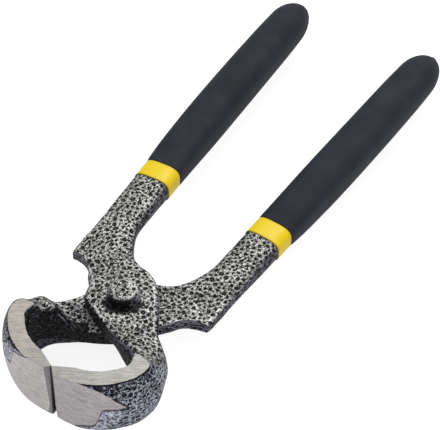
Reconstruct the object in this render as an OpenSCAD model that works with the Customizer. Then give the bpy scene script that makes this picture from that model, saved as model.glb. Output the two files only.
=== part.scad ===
// End cutting nippers: two forged levers that cross at a riveted lap joint.
// The levers are the same piece. The lower one is the upper one turned half a turn about the long axis.
// Lever outlines are drawn for the upper lever: handle on -X, jaw on +X, pivot at the drawing's origin.

/* [Jaws] */
// Distance from the pivot to the ground front of the jaws
jaw_reach = 38.2; // [36:0.1:42]
// Width of the jaws along the pivot axis, which is the length of the cutting edges
jaw_width = 22; // [18:0.5:26]
// Inner radius of each jaw's hook, which is half of the throat
throat_r = 16.7; // [15:0.1:18]
// Thickness of the forged hook at its mid height
jaw_wall = 7.8; // [6.5:0.1:9]
// Distance from the middle plane to the centre of each hook's curve
hook_x = 3.5; // [2.5:0.1:5]
// Wall of the jaw between the throat and the ground front
front_wall = 5; // [3.5:0.1:6.5]
// Radius of the ground curve across the front of the jaws
front_r = 34; // [29:0.5:38]
// Depth of the small bevel in front of each cutting edge
front_bevel = 1.7; // [1:0.1:2.5]
// Length of the flat bevel behind each cutting edge
back_bevel = 9; // [6:0.1:11]
// Slope of the bevel behind each cutting edge, in degrees
back_bevel_angle = 27; // [20:1:34]
// Gap that each closed cutting edge keeps to the middle plane
edge_gap = 0.03; // [0.02:0.01:0.1]

/* [Lap joint] */
// Thickness of each lever at the pivot
lap_t = 5.8; // [4.5:0.1:7.5]
// Half the running gap between the two lapped faces
lap_clear = 0.05; // [0.03:0.01:0.1]
// Distance from the middle plane to the corner of each shoulder
shoulder_x = 25.6; // [23:0.1:28]
// Distance from the pivot back to the corner of each shoulder
shoulder_y = 8.5; // [7:0.1:10]
// Thickness of each lever at its shoulder
shoulder_t = 4.5; // [3.5:0.1:6]
// Radius of the hollow neck in front of each shoulder
neck_r = 9.4; // [8.5:0.1:10.5]
// Distance from the middle plane to the narrowest place of the lap at each neck
waist_x = 14.6; // [13.5:0.1:16]
// Distance from the pivot back to the bottom of the crotch between the arms
crotch_y = 14; // [12.5:0.1:15.5]

/* [Rivet] */
// Radius of the rivet's shank
rivet_r = 3.4; // [2.5:0.1:4.5]
// Radial clearance of the shank in both levers
rivet_clear = 0.05; // [0.02:0.01:0.1]
// Radius of the rivet's two heads
head_r = 5.2; // [4.8:0.1:6.5]
// Height of each head above its lever
head_h = 3.6; // [2:0.1:4.5]
// Radius of the flat that the hammer left on each head
head_flat_r = 2.9; // [1.5:0.1:3.5]

/* [Arms] */
// Width of each arm where it meets the collar
arm_w = 12.8; // [11:0.1:14]
// Thickness of each arm where it meets the collar
arm_t = 8.8; // [7:0.1:10]
// Distance from the middle plane to the arm's centre at the collar
arm_x = 21.5; // [20:0.1:24]
// Distance from the pivot back to the collar
arm_y = 47.2; // [42:0.1:56]
// Height of the arm's centre at the collar above the lap plane
arm_z = 1.9; // [0.5:0.1:2.2]
// Outward lean of each handle, in degrees
lean = 3.55; // [2:0.05:6]
// Fall of each handle towards the lap plane, in degrees
dip = 0.75; // [0:0.05:1]

/* [Handles] */
// Distance from the pivot to the far end of the grips
handle_reach = 162; // [140:1:190]
// Length of each collar
collar_len = 8; // [5:0.1:12]
// Amount that each collar stands proud of the arm
collar_proud = 0.3; // [0.1:0.05:0.6]
// Width of the tang inside each handle
tang_w = 8.6; // [7:0.1:10]
// Thickness of the tang inside each handle
tang_t = 6; // [5:0.1:6.6]
// Length of solid vinyl between the end of the tang and the far end of each grip
tang_short = 23; // [8:1:45]
// Clearance round the tang and between the pieces that it carries
fit_gap = 0.1; // [0.05:0.01:0.2]
// Width of each grip at its fullest place
grip_w = 15.2; // [14:0.1:17]
// Thickness of each grip at its fullest place
grip_t = 14.2; // [13:0.1:16]
// Radius of the moulding nib at the end of each grip
nib_r = 1.7; // [1:0.1:2.5]
// Height of the moulding nib
nib_h = 1.1; // [0.4:0.1:1.6]

/* [Hidden] */
$fn = 96;

steel = [0.52, 0.52, 0.51];
yellow = [0.96, 0.83, 0.2];
black = [0.2, 0.21, 0.23];

half_h = jaw_width / 2;
jaw_mid_r = throat_r + jaw_wall;
// Distance from the pivot forward to the centre of each hook's curve
hook_y = jaw_reach - front_wall - throat_r;
// The pivot stands this far from the middle of the tool's length
pivot_y = (jaw_reach - handle_reach) / 2;
// One overrun serves every cut
over = lap_t / 5;

// Number of sides of a forged section, and of steps between two stations
section_sides = 32;
substeps = 3;

// A forged section is a rounded rectangle. These powers set how square it is on each side.
round_power = 2;
square_power = 5;
wall_power = 9;
arm_power = 3.2;
grip_power = 2.3;

// Hidden overrun of the forging past each ground or lapped face
grind = jaw_wall / 10;

// The hook, seen from above, turns about its centre. Angle 0 points to the front.
function hook_at(r, a) = [hook_x + r * sin(a), -hook_y - r * cos(a)];

// A station is a rib across the lever: two ends, the heights of both faces at each end,
// the squareness at each end, and how far the lapped face is cut below its forged height.
function rib(left, right, lo_left, lo_right, hi_left, hi_right, p_left, p_right, milled) =
    [left[0], left[1], right[0], right[1], lo_left, lo_right, hi_left, hi_right, p_left, p_right, milled];

function hook_rib(a) =
    rib(hook_at(throat_r, a), hook_at(jaw_mid_r, a), -half_h - grind, -half_h - grind,
        half_h + grind, half_h + grind, wall_power, round_power, 0);

// Angles of the hook's stations
hook_angles = [-16, 0, 18, 36, 52, 64];

// The end of the hook turns back into the flat lap
hook_end = rib([throat_r * 1.055, -hook_y * 1.23], [hook_x + jaw_mid_r * 0.975, -hook_y * 1.31],
    -half_h * 0.97, -half_h * 0.88, half_h + grind, half_h * 1.02, wall_power, round_power, 0);

end_across = arm_w / 2 * [cos(lean), sin(lean)];

// Stations from the hook's end to the collar
lap_ribs = [
    rib([throat_r * 0.93, -hook_y * 1.12], [hook_x + jaw_mid_r * 0.935, -hook_y * 1.02],
        -half_h * 0.88, -half_h * 0.63, half_h * 0.88, half_h * 0.74, arm_power, round_power, 0),
    rib([throat_r * 0.72, -hook_y], [hook_x + jaw_mid_r * 0.85, -hook_y * 0.75],
        -half_h * 0.8, -half_h * 0.56, lap_t * 1.45, lap_t * 1.1, arm_power, round_power, 0),
    rib([throat_r * 0.42, -hook_y * 0.87], [hook_x + jaw_mid_r * 0.69, -hook_y * 0.555],
        lap_clear, lap_clear, lap_t * 1.22, lap_t, wall_power, square_power, lap_t / 6),
    rib([throat_r * 0.09, -hook_y * 0.745], [waist_x * 1.138, -hook_y * 0.352],
        lap_clear, lap_clear, lap_t * 1.08, lap_t, wall_power, square_power, lap_t / 6),
    rib([-waist_x * 0.33, -hook_y * 0.57], [waist_x * 0.89, 0],
        lap_clear, lap_clear, lap_t * 1.02, lap_t, square_power, square_power, lap_t / 6),
    rib([-waist_x * 0.68, -hook_y * 0.33], [waist_x * 0.67, crotch_y * 0.37],
        lap_clear, lap_clear, lap_t, lap_t, square_power, square_power, lap_t / 6),
    rib([-waist_x * 0.83, -hook_y * 0.012], [waist_x * 0.44, crotch_y * 0.69],
        lap_clear, lap_clear, lap_t, lap_t, square_power, square_power, lap_t / 6),
    rib([-shoulder_x * 0.74, shoulder_y * 0.58], [waist_x * 0.12, crotch_y * 0.92],
        lap_clear, lap_clear, shoulder_t, lap_t, square_power, square_power, lap_t / 6),
    rib([-shoulder_x * 0.98, shoulder_y * 0.86], [-waist_x * 0.25, crotch_y * 1.02],
        lap_clear, lap_clear, shoulder_t, lap_t, square_power, square_power, lap_t / 6),
    rib([-shoulder_x * 1.02, crotch_y], [-waist_x * 0.53, crotch_y * 1.22],
        lap_clear, lap_clear, shoulder_t, shoulder_t * 1.1, square_power, arm_power, lap_t / 8),
    rib([-shoulder_x * 1.035, crotch_y * 1.5], [-waist_x * 0.78, crotch_y * 1.61],
        -arm_t * 0.05, -arm_t * 0.05, shoulder_t * 1.06, shoulder_t * 1.1, arm_power, arm_power, lap_t / 16),
    rib([-shoulder_x * 1.05, arm_y * 0.6], [-waist_x * 0.95, arm_y * 0.61],
        -arm_t * 0.18, -arm_t * 0.18, shoulder_t * 1.15, shoulder_t * 1.15, arm_power, arm_power, 0),
    rib([-shoulder_x * 1.07, arm_y * 0.8], [-waist_x, arm_y * 0.81],
        arm_z - arm_t * 0.44, arm_z - arm_t * 0.44, arm_z + arm_t * 0.46, arm_z + arm_t * 0.46,
        arm_power, arm_power, 0),
    rib([-arm_x, arm_y] - end_across, [-arm_x, arm_y] + end_across,
        arm_z - arm_t / 2, arm_z - arm_t / 2, arm_z + arm_t / 2, arm_z + arm_t / 2, arm_power, arm_power, 0)
];

stations = concat([for (a = hook_angles) hook_rib(a)], [hook_end], lap_ribs);

// A smooth curve through the stations: each slope is the mean of its neighbours' steps
function slope(s, i) =
    let (n = len(s) - 1) (s[min(i + 1, n)] - s[max(i - 1, 0)]) / (min(i + 1, n) - max(i - 1, 0));
function blend(s, i, t) =
    let (a = s[i], b = s[i + 1], ma = slope(s, i), mb = slope(s, i + 1), u = t * t, v = t * t * t)
    a * (2 * v - 3 * u + 1) + ma * (v - 2 * u + t) + b * (3 * u - 2 * v) + mb * (v - u);
smooth_ribs = concat(
    [for (i = [0:len(stations) - 2], k = [0:substeps - 1]) blend(stations, i, k / substeps)],
    [stations[len(stations) - 1]]);

function bowed(v, p) = sign(v) * pow(abs(v), 2 / p);

// One point of a rib's section. The lapped face is cut flat where the rib is milled.
function rib_point(r, phi) =
    let (
        p = cos(phi) < 0 ? r[8] : r[9],
        across = (bowed(cos(phi), p) + 1) / 2,
        up = bowed(sin(phi), p),
        lo = r[4] + (r[5] - r[4]) * across,
        hi = r[6] + (r[7] - r[6]) * across,
        forged_lo = lo - r[10],
        z = (hi + forged_lo) / 2 + up * (hi - forged_lo) / 2,
        floor_z = r[10] > 0 ? lo : z
    )
    [r[0] + (r[2] - r[0]) * across, r[1] + (r[3] - r[1]) * across, max(z, floor_z)];

// Closed skin over rings of points, all with the same number of points
module skin(rings) {
    sides = len(rings[0]);
    last = len(rings) - 1;
    points = [for (ring = rings) each ring];
    walls = [for (i = [0:last - 1], j = [0:sides - 1])
        let (a = i * sides + j, b = i * sides + (j + 1) % sides)
        each [[a, b, b + sides], [a, b + sides, a + sides]]];
    caps = [[for (j = [0:sides - 1]) sides - 1 - j], [for (j = [0:sides - 1]) last * sides + j]];
    polyhedron(points = points, faces = concat(walls, caps), convexity = 8);
}

module forging() {
    skin([for (r = smooth_ribs)
        [for (j = [0:section_sides - 1]) rib_point(r, 360 * (j + 0.5) / section_sides)]]);
}

// What the grinder and the file take off the jaw, and the hollow of the neck
module machined_away() {
    reach = jaw_reach + jaw_wall;
    // side faces of the jaws
    for (s = [-1, 1])
        translate([-reach, -reach - over, s > 0 ? half_h : -half_h - lap_t])
            cube([2 * reach, reach + over, lap_t]);
    // ground front of the jaw
    difference() {
        translate([hook_x, -reach - over, -half_h - over])
            cube([reach, reach - hook_y, jaw_width + 2 * over]);
        translate([hook_x, -jaw_reach + front_r, -half_h - 2 * over])
            cylinder(r = front_r, h = jaw_width + 4 * over);
    }
    translate([-reach, -reach - over, -half_h - over])
        cube([reach + hook_x + over, reach + over - jaw_reach, jaw_width + 2 * over]);
    // middle plane and both bevels of the cutting edge
    edge_y = -(jaw_reach - front_bevel);
    rise = back_bevel * tan(back_bevel_angle);
    translate([0, 0, -half_h - over])
        linear_extrude(height = jaw_width + 2 * over)
            polygon([
                [edge_gap + front_bevel + over, edge_y - front_bevel - over],
                [edge_gap, edge_y],
                [edge_gap + back_bevel, edge_y + rise],
                [edge_gap, edge_y + rise + lap_t],
                [-jaw_wall - over, edge_y + rise + lap_t],
                [-jaw_wall - over, edge_y - front_bevel - over]
            ]);
    // neck in front of the shoulder
    translate([-waist_x - neck_r, -shoulder_y * 0.12, -half_h])
        cylinder(r = neck_r, h = jaw_width);
}

// Frame of the upper lever's handle: its Z runs along the handle from the end of the arm
module along_handle() {
    translate([-arm_x, arm_y, arm_z])
        rotate([-90 - dip, 0, lean])
            children();
}

// Distance along the handle from the end of the arm to the far end of the grip
grip_end = (handle_reach - arm_y) / (cos(lean) * cos(dip));
// Length of the tang behind the arm
tang_len = grip_end - tang_short;
// The tang is a flat bar with its four edges rounded to this share of its width
tang_round_share = 0.54;

module tang_section(clear) {
    intersection() {
        square([tang_w + 2 * clear, tang_t + 2 * clear], center = true);
        circle(r = tang_w * tang_round_share + clear);
    }
}

module lever() {
    color(steel)
        difference() {
            union() {
                difference() {
                    forging();
                    machined_away();
                }
                along_handle()
                    translate([0, 0, -arm_w])
                        linear_extrude(height = tang_len + arm_w)
                            tang_section(0);
            }
            translate([0, 0, -half_h])
                cylinder(r = rivet_r + rivet_clear, h = jaw_width);
        }
}

// A ring of a rounded section, as wide and thick as given, at one place along the handle
ring_sides = 28;
function handle_ring(along, w, t, power) =
    [for (j = [0:ring_sides - 1])
        let (phi = 360 * (j + 0.5) / ring_sides)
        [w / 2 * bowed(cos(phi), power), t / 2 * bowed(sin(phi), power), along]];

collar_w = arm_w + 2 * collar_proud;
collar_t = arm_t + 2 * collar_proud;
collar_start = fit_gap;
collar_end = collar_start + collar_len;
// Width of the small round at both rims of the collar
rim = collar_proud * 1.5;

// A ring of the collar, set in from its full section
function collar_ring(along, inset) =
    handle_ring(along, collar_w - 2 * inset, collar_t - 2 * inset, arm_power);

module collar() {
    color(yellow)
        along_handle()
            difference() {
                skin([
                    collar_ring(collar_start, rim),
                    collar_ring(collar_start + rim / 3, rim / 4),
                    collar_ring(collar_start + rim, 0),
                    collar_ring(collar_end - rim, 0),
                    collar_ring(collar_end - rim / 3, rim / 4),
                    collar_ring(collar_end, rim)
                ]);
                translate([0, 0, -over])
                    linear_extrude(height = collar_end + 2 * over)
                        tang_section(fit_gap);
            }
}

grip_start = collar_end + fit_gap;
grip_len = grip_end - nib_h - grip_start;
// The grip from the collar to the start of its round end, as shares: place along its length, width,
// thickness, squareness of the section, and the sideways shift of its slight bow
grip_shares = [
    [0, 0.875, 0.66, 1.42, 0], [0.012, 0.9, 0.69, 1.42, -0.004], [0.07, 0.915, 0.79, 1.43, -0.02],
    [0.17, 0.935, 0.89, 1.4, -0.022], [0.25, 0.965, 0.95, 1.32, -0.022], [0.4, 0.99, 0.99, 1.22, -0.018],
    [0.6, 1, 1, 1.16, -0.004], [0.78, 0.995, 1, 1.1, 0.016], [0.88, 0.965, 0.98, 1.05, 0.028]
];
// Sideways shift of the grip's far end
bow_end_share = 0.036;
end_steps = 7;

// A ring of the grip at shares of its length, width and thickness
function grip_ring(shares) =
    [for (point = handle_ring(grip_start + shares[0] * grip_len, shares[1] * grip_w, shares[2] * grip_t,
            grip_power * shares[3]))
        point + [shares[4] * grip_w, 0, 0]];

// A round ring of the nib, at its height over the grip's end
function nib_ring(height, r) =
    [for (point = handle_ring(grip_start + grip_len + height, 2 * r, 2 * r, round_power))
        point + [bow_end_share * grip_w, 0, 0]];

module grip() {
    last = grip_shares[len(grip_shares) - 1];
    body = [for (shares = grip_shares) grip_ring(shares)];
    // the round end stops where it is as wide as the nib
    stop = acos(2 * nib_r / (last[1] * grip_w));
    end = [for (k = [1:end_steps])
        let (a = stop * k / end_steps, done = k / end_steps)
        grip_ring([
            last[0] + (1 - last[0]) * sin(a) / sin(stop), last[1] * cos(a), last[2] * cos(a),
            last[3] + (round_power / grip_power - last[3]) * done, last[4] + (bow_end_share - last[4]) * done
        ])];
    nib = [nib_ring(nib_h * 0.65, nib_r), nib_ring(nib_h, nib_r * 0.75)];
    color(black)
        along_handle()
            difference() {
                skin(concat(body, end, nib));
                translate([0, 0, -over])
                    linear_extrude(height = tang_len + fit_gap + over)
                        tang_section(fit_gap);
            }
}

// Share of each head's height that is domed over its straight side
dome_share = 0.65;
crown_steps = 6;

module rivet() {
    foot = lap_t + fit_gap;
    top = foot + head_h;
    crown = [for (k = [0:crown_steps])
        let (a = 90 * k / crown_steps)
        [head_flat_r + (head_r - head_flat_r) * cos(a), top - head_h * dome_share * (1 - sin(a))]];
    half = concat([[rivet_r, 0], [rivet_r, foot], [head_r, foot]], crown, [[0, top]]);
    color(steel)
        for (s = [0, 180])
            rotate([0, s, 0])
                rotate_extrude()
                    polygon(concat([[0, 0]], half));
}

// The tool stands on the side faces of its jaws, with its length centred on the origin
module place() {
    translate([0, pivot_y, half_h])
        children();
}

module turned() {
    rotate([0, 180, 0])
        children();
}

module top_lever() { place() lever(); }
module bottom_lever() { place() turned() lever(); }
module pivot_rivet() { place() rivet(); }
module left_collar() { place() collar(); }
module right_collar() { place() turned() collar(); }
module left_grip() { place() grip(); }
module right_grip() { place() turned() grip(); }

top_lever();
bottom_lever();
pivot_rivet();  // rivet
left_collar();
right_collar();
left_grip();
right_grip();
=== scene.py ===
# %% [markdown]
# # End cutting nippers
# Two forged levers cross at a riveted lap joint. In front of the rivet each lever hooks inwards to a jaw with a
# cutting edge, and behind it each runs out into a handle, so that a light squeeze becomes a strong bite.
#
# The packed solids have these forms already. This notebook gives them their finish: hammered paint and ground
# jaws on the levers, moulded surfaces on the collars and grips, and a small studio round them. Sizes are in
# millimetres in the lever's own frame, whose origin is the pivot on the lap plane. A piece is turned into metres
# in the part's frame when it is placed.

import bpy
import numpy as np
from mathutils import Matrix, Vector, kdtree


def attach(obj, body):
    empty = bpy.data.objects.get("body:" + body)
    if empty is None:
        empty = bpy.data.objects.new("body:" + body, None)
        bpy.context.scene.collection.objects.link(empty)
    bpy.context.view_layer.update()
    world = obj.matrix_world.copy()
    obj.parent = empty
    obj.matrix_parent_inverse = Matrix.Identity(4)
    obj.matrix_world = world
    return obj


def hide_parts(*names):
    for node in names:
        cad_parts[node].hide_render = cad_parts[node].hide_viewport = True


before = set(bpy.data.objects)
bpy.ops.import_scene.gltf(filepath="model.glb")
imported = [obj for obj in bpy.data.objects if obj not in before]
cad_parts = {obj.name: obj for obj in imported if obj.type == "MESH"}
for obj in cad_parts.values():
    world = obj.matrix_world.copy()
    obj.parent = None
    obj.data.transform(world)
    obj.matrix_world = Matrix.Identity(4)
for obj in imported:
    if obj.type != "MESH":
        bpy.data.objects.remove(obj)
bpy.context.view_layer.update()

# %% [markdown]
# ## Sizes
# A dressed piece must be as large as the solid that it stands for. The solid could be measured, but it is surer
# to work both out from the same named sizes, so these are the ones in the part's source. The handle leans
# outwards by `lean` degrees and sinks by `dip` degrees. A power says how square a section is: 2 is an ellipse,
# and a higher one comes closer to a rectangle.

# %% Sizes of the lever
# The jaw: its reach from the pivot, the hook round the throat, the ground front and the bevels of the edge
jaw_reach, jaw_width, throat_r, jaw_wall = 38.2, 22.0, 16.7, 7.8
hook_x, front_wall, front_r = 3.5, 5.0, 34.0
front_bevel, back_bevel, back_bevel_angle, edge_gap = 1.7, 9.0, 27.0, 0.03
# The lap, the shoulder and the neck between them, and the rivet
lap_t, lap_clear = 5.8, 0.05
shoulder_x, shoulder_y, shoulder_t = 25.6, 8.5, 4.5
neck_r, waist_x, crotch_y = 9.4, 14.6, 14.0
rivet_r, rivet_clear, head_r, head_h, head_flat_r = 3.4, 0.05, 5.2, 3.6, 2.9
# The arm's end, and what is pushed onto the tang behind it
arm_w, arm_t, arm_x, arm_y, arm_z = 12.8, 8.8, 21.5, 47.2, 1.9
lean, dip = 3.55, 0.75
handle_reach, collar_len, collar_proud = 162.0, 8.0, 0.3
tang_w, tang_t, tang_short, fit_gap = 8.6, 6.0, 23.0, 0.1
grip_w, grip_t, nib_r, nib_h = 15.2, 14.2, 1.7, 1.1
round_power, square_power, wall_power, arm_power, grip_power, tang_power = 2.0, 5.0, 9.0, 3.2, 2.3, 6.0

half_h = jaw_width / 2
jaw_mid_r = throat_r + jaw_wall
hook_y = jaw_reach - front_wall - throat_r
grip_end = (handle_reach - arm_y) / (np.cos(np.radians(lean)) * np.cos(np.radians(dip)))
tang_len = grip_end - tang_short
pivot_y = (jaw_reach - handle_reach) / 2
grind = jaw_wall / 10
print("pivot at", pivot_y, "mm")

# %% [markdown]
# ## Surfaces from numbers
# Every new piece is a grid of points that numpy works out at once, rows along the piece and columns round it.
# Blender's own cylinder would do for a collar, but not for a lever whose section changes all the way along, and
# one way for all keeps the pieces alike. The surface has to be closed: each end gets a fan of triangles, or the
# rows run round to the start. Its faces have to point outwards, which the sign of the enclosed volume tells.

# %% Grid surfaces
def link(name, mesh, materials=()):
    """Makes one object of a mesh, at the origin."""
    piece = bpy.data.objects.new(name, mesh)
    bpy.context.scene.collection.objects.link(piece)
    for material in materials:
        mesh.materials.append(material)
    return piece


def outward(points, faces):
    """The faces, reversed if the volume in them, the sum of p0 . (p1 x p2) over a fan of each, is negative."""
    corners = [points[[f[n] for f in faces]] for n in range(3)]
    volume = (corners[0] * np.cross(corners[1], corners[2])).sum()
    quads = [f for f in faces if len(f) == 4]
    corners = [points[[f[n] for f in quads]] for n in (0, 2, 3)]
    volume += (corners[0] * np.cross(corners[1], corners[2])).sum()
    return faces if volume > 0 else [f[::-1] for f in faces]


def closed_grid(name, points, materials=(), ring=False):
    """Surface over points[row, column].

    Face (i, j) joins rows i, i+1 and columns j, j+1, columns modulo their number. A ring's rows go round as well.
    """
    rows, columns = points.shape[:2]
    i = np.arange(rows if ring else rows - 1)[:, None] * columns
    j = np.arange(columns)[None, :]
    k = (j + 1) % columns
    up = (i + columns) % (rows * columns)
    faces = np.stack([i + j, i + k, up + k, up + j], -1).reshape(-1, 4).tolist()
    vertices = points.reshape(-1, 3)
    if not ring:
        ends = np.stack([points[0].mean(0), points[-1].mean(0)])
        vertices = np.concatenate([vertices, ends])
        first, last = rows * columns, rows * columns + 1
        j, k = j[0], k[0]
        faces += np.stack([k, j, 0 * j + first], -1).tolist()
        base = (rows - 1) * columns
        faces += np.stack([base + j, base + k, 0 * j + last], -1).tolist()
    mesh = bpy.data.meshes.new(name)
    mesh.from_pydata(vertices.tolist(), [], outward(vertices, faces))
    mesh.polygons.foreach_set("use_smooth", np.ones(len(mesh.polygons), bool))
    mesh.update()
    return link(name, mesh, materials)


print("surface tools ready")

# %% [markdown]
# ## Placing
# Both levers are the same forging. The upper one is drawn here, with its handle on -X, and the lower one is that
# piece turned half a turn about Y, as on the real tool. The object could be moved and turned instead, but the
# materials read Object coordinates, so a pattern would slide with it. So the place goes into the mesh's points,
# and every object stays at the origin.

# %% Placing and the handle's frame
def placed(points, turned):
    """Lever frame in mm to part frame in m: (s x, y + pivot_y, s z + half_h) / 1000, s = -1 when turned."""
    s = np.array([-1.0, 1.0, -1.0]) if turned else np.ones(3)
    return (points * s + [0, pivot_y, half_h]) / 1000


def turn(axis, degrees):
    """3 by 3 rotation matrix about one axis."""
    return np.array(Matrix.Rotation(np.radians(degrees), 3, axis))


handle_axes = turn("Z", lean) @ turn("X", -90 - dip)
handle_origin = np.array([-arm_x, arm_y, arm_z])


def on_handle(points):
    """Handle frame (Z along the handle from the arm's end) to lever frame: axes times point, plus the origin."""
    return points @ handle_axes.T + handle_origin


print("handle runs along", np.round(handle_axes[:, 2], 3))

# %% [markdown]
# ## Hammered pits
# Hammered paint holds a little silicone, from which the wet film draws back into round pits. They crowd each
# other, so they lie evenly but not in rows. Throwing darts gives the same: a dart stays only if it lands far
# enough from all the others. A bump in the material could fake the pits, but the outline would stay smooth, so
# they are pressed into the mesh, and the paint looks up how far each point lies from a rim.

# %% Pits
pit_small, pit_spread, pit_extra, pit_margin = 0.17, 0.25, 0.42, 0.42
pit_depth, pit_slope, rare = 0.09, 0.3, 12


def ramp(value, low, high):
    """Smooth step t t (3 - 2 t) from 0 at low to 1 at high. low may lie above high."""
    t = np.clip((value - low) / (high - low), 0, 1)
    return t * t * (3 - 2 * t)


def scatter(points, darts, seed):
    """Pits (x, y, z, radius) in mm. Large darts fall first, and one stays if it clears all rims by pit_margin."""
    chance = np.random.default_rng(seed)
    radii = pit_small + pit_spread * chance.random(darts) + pit_extra * chance.random(darts) ** rare
    radii = np.sort(radii)[::-1].tolist()
    side = 2 * radii[0] + pit_margin
    around = [tuple(n - 1 for n in step) for step in np.ndindex(3, 3, 3)]
    kept, cells = [], {}
    for (x, y, z), radius in zip(chance.choice(points.reshape(-1, 3), darts).tolist(), radii):
        i, j, k = int(x // side), int(y // side), int(z // side)
        near = (pit for a, b, c in around for pit in cells.get((i + a, j + b, k + c), ()))
        if all((x - u) ** 2 + (y - v) ** 2 + (z - w) ** 2 > (radius + r + pit_margin) ** 2
               for u, v, w, r in near):
            kept.append((x, y, z, radius))
            cells.setdefault((i, j, k), []).append(kept[-1])
    return np.array(kept)


def nearest(points, targets, count):
    """Numbers of the nearest targets to each point, and their distances, as two arrays, one row per point."""
    tree = kdtree.KDTree(len(targets))
    for n, target in enumerate(targets):
        tree.insert(target, n)
    tree.balance()
    found = [[number for hit in tree.find_n(p, count) for number in hit[1:]] for p in points.reshape(-1, 3)]
    found = np.array(found).reshape(-1, count, 2)
    return found[..., 0].astype(int), found[..., 1]


def pit_distances(points, pits):
    """Two distances in mm: to the nearest rim, d1 - r1, and how much farther the next is, d2 - r2 - (d1 - r1)."""
    numbers, distances = nearest(points, pits[:, :3], 3)
    rims = np.sort(distances - pits[numbers, 3], axis=1)
    return rims[:, 0].reshape(points.shape[:-1]), (rims[:, 1] - rims[:, 0]).reshape(points.shape[:-1])


def dent(points, pits):
    """How deep a point lies in a pit: pit_depth times a smooth step over the first pit_slope mm in from a rim."""
    return pit_depth * ramp(-pit_distances(points, pits)[0], 0, pit_slope)


print("pits of up to", 2 * (pit_small + pit_spread + pit_extra), "mm")

# %% [markdown]
# ## Forging
# The real lever is one hot bar, bent and squeezed in a die, so its section changes smoothly from the edge to the
# arm. Here that is a row of ribs, drawn across the lever wherever its section changes. A smooth curve runs
# through them, and each carries a rounded rectangle as square as the rib says. Sculpting would give such a form
# too, but a rib keeps to the named sizes: places are shares of those sizes, as in the source. The two forgings
# differ a little, as hand-ground ones do: the lower lever's throat wall is squarer and deeper.

# %% Ribs of the forging
hook_angles = (-16, 0, 18, 36, 52, 64)
side_shares = (0.975, 0.935, 0.85, 0.69)


def rib(left, right, low, high, power, milled=0.0):
    """A rib's ends (x, y) and, at each end, lowest z, highest z and power. milled is cut off the lapped face."""
    return [*left, *right, *low, *high, *power, milled]


def hook_at(r, degrees):
    """Point (hook_x + r sin a, -hook_y - r cos a) of the hook."""
    a = np.radians(degrees)
    return hook_x + r * np.sin(a), -hook_y - r * np.cos(a)


def hook_ribs(turned):
    """The ribs round the hook, and the three by which it steps down to the lap."""
    tall, deeper = half_h + grind, half_h * 0.12 * turned
    shallower = half_h * 0.25 * (not turned)
    powers = (arm_power + 2.3 * turned, round_power)
    side = hook_x + jaw_mid_r * np.array(side_shares)
    hook = [rib(hook_at(throat_r, a), hook_at(jaw_mid_r, a), (-tall, -tall), (tall, tall),
                (wall_power, round_power)) for a in hook_angles]
    return hook + [
        rib((throat_r * 1.055, -hook_y * 1.23), (side[0], -hook_y * 1.31),
            (-half_h * 1.03, -half_h * 0.975), (tall, half_h * 1.02), (wall_power, round_power)),
        rib((throat_r * 0.93, -hook_y * 1.12), (side[1], -hook_y * 1.02),
            (-half_h * 0.88, -half_h * 0.63), (half_h * 0.88 + deeper, half_h * 0.74), powers),
        rib((throat_r * 0.72, -hook_y), (side[2], -hook_y * 0.75),
            (-half_h * 0.8 + shallower, -half_h * 0.56), (lap_t * 1.45 + deeper, lap_t * 1.1), powers)]


def lap_ribs():
    """The ribs of the lap, cut flat at lap_clear and milled."""
    side = hook_x + jaw_mid_r * side_shares[3]
    flat, full, mill = (lap_clear, lap_clear), (lap_t, lap_t), lap_t / 6
    square = (square_power, square_power)
    return [
        rib((throat_r * 0.42, -hook_y * 0.87), (side, -hook_y * 0.555), flat,
            (lap_t * 1.22, lap_t), (wall_power, square_power), mill),
        rib((throat_r * 0.09, -hook_y * 0.745), (waist_x * 1.138, -hook_y * 0.352), flat,
            (lap_t * 1.08, lap_t), (wall_power, square_power), mill),
        rib((-waist_x * 0.33, -hook_y * 0.57), (waist_x * 0.89, 0), flat, (lap_t * 1.02, lap_t), square, mill),
        rib((-waist_x * 0.745, -hook_y * 0.34), (waist_x * 0.67, crotch_y * 0.37), flat, full, square, mill),
        rib((-waist_x * 0.89, -hook_y * 0.012), (waist_x * 0.44, crotch_y * 0.69), flat, full, square, mill),
        rib((-shoulder_x * 0.74, shoulder_y * 0.58), (waist_x * 0.12, crotch_y * 0.92), flat,
            (shoulder_t, lap_t), square, mill),
        rib((-shoulder_x * 0.98, shoulder_y * 0.86), (-waist_x * 0.25, crotch_y * 1.02), flat,
            (shoulder_t, lap_t), square, mill),
        rib((-shoulder_x * 1.02, crotch_y), (-waist_x * 0.53, crotch_y * 1.22), flat,
            (shoulder_t, shoulder_t * 1.1), (square_power, arm_power), lap_t / 8)]


def arm_ribs():
    """The ribs of the arm, from the shoulder to the collar."""
    end_x, end_y = arm_w / 2 * np.cos(np.radians(lean)), arm_w / 2 * np.sin(np.radians(lean))

    def level(low, high):
        return (low, low), (high, high), (arm_power, arm_power)

    return [
        rib((-shoulder_x * 1.035, crotch_y * 1.5), (-waist_x * 0.78, crotch_y * 1.61),
            (-arm_t * 0.05, -arm_t * 0.05), (shoulder_t * 1.06, shoulder_t * 1.1),
            (arm_power, arm_power), lap_t / 16),
        rib((-shoulder_x * 1.05, arm_y * 0.6), (-waist_x * 0.95, arm_y * 0.61),
            *level(-arm_t * 0.18, shoulder_t * 1.15)),
        rib((-shoulder_x * 1.07, arm_y * 0.8), (-waist_x, arm_y * 0.81),
            *level(arm_z - arm_t * 0.44, arm_z + arm_t * 0.46)),
        rib((-arm_x - end_x, arm_y - end_y), (-arm_x + end_x, arm_y + end_y),
            *level(arm_z - arm_t / 2, arm_z + arm_t / 2))]


def stations(turned):
    """All ribs from the cutting edge to the collar, one row each."""
    return np.array(hook_ribs(turned) + lap_ribs() + arm_ribs(), float)


print(len(stations(False)), "stations")

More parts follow.
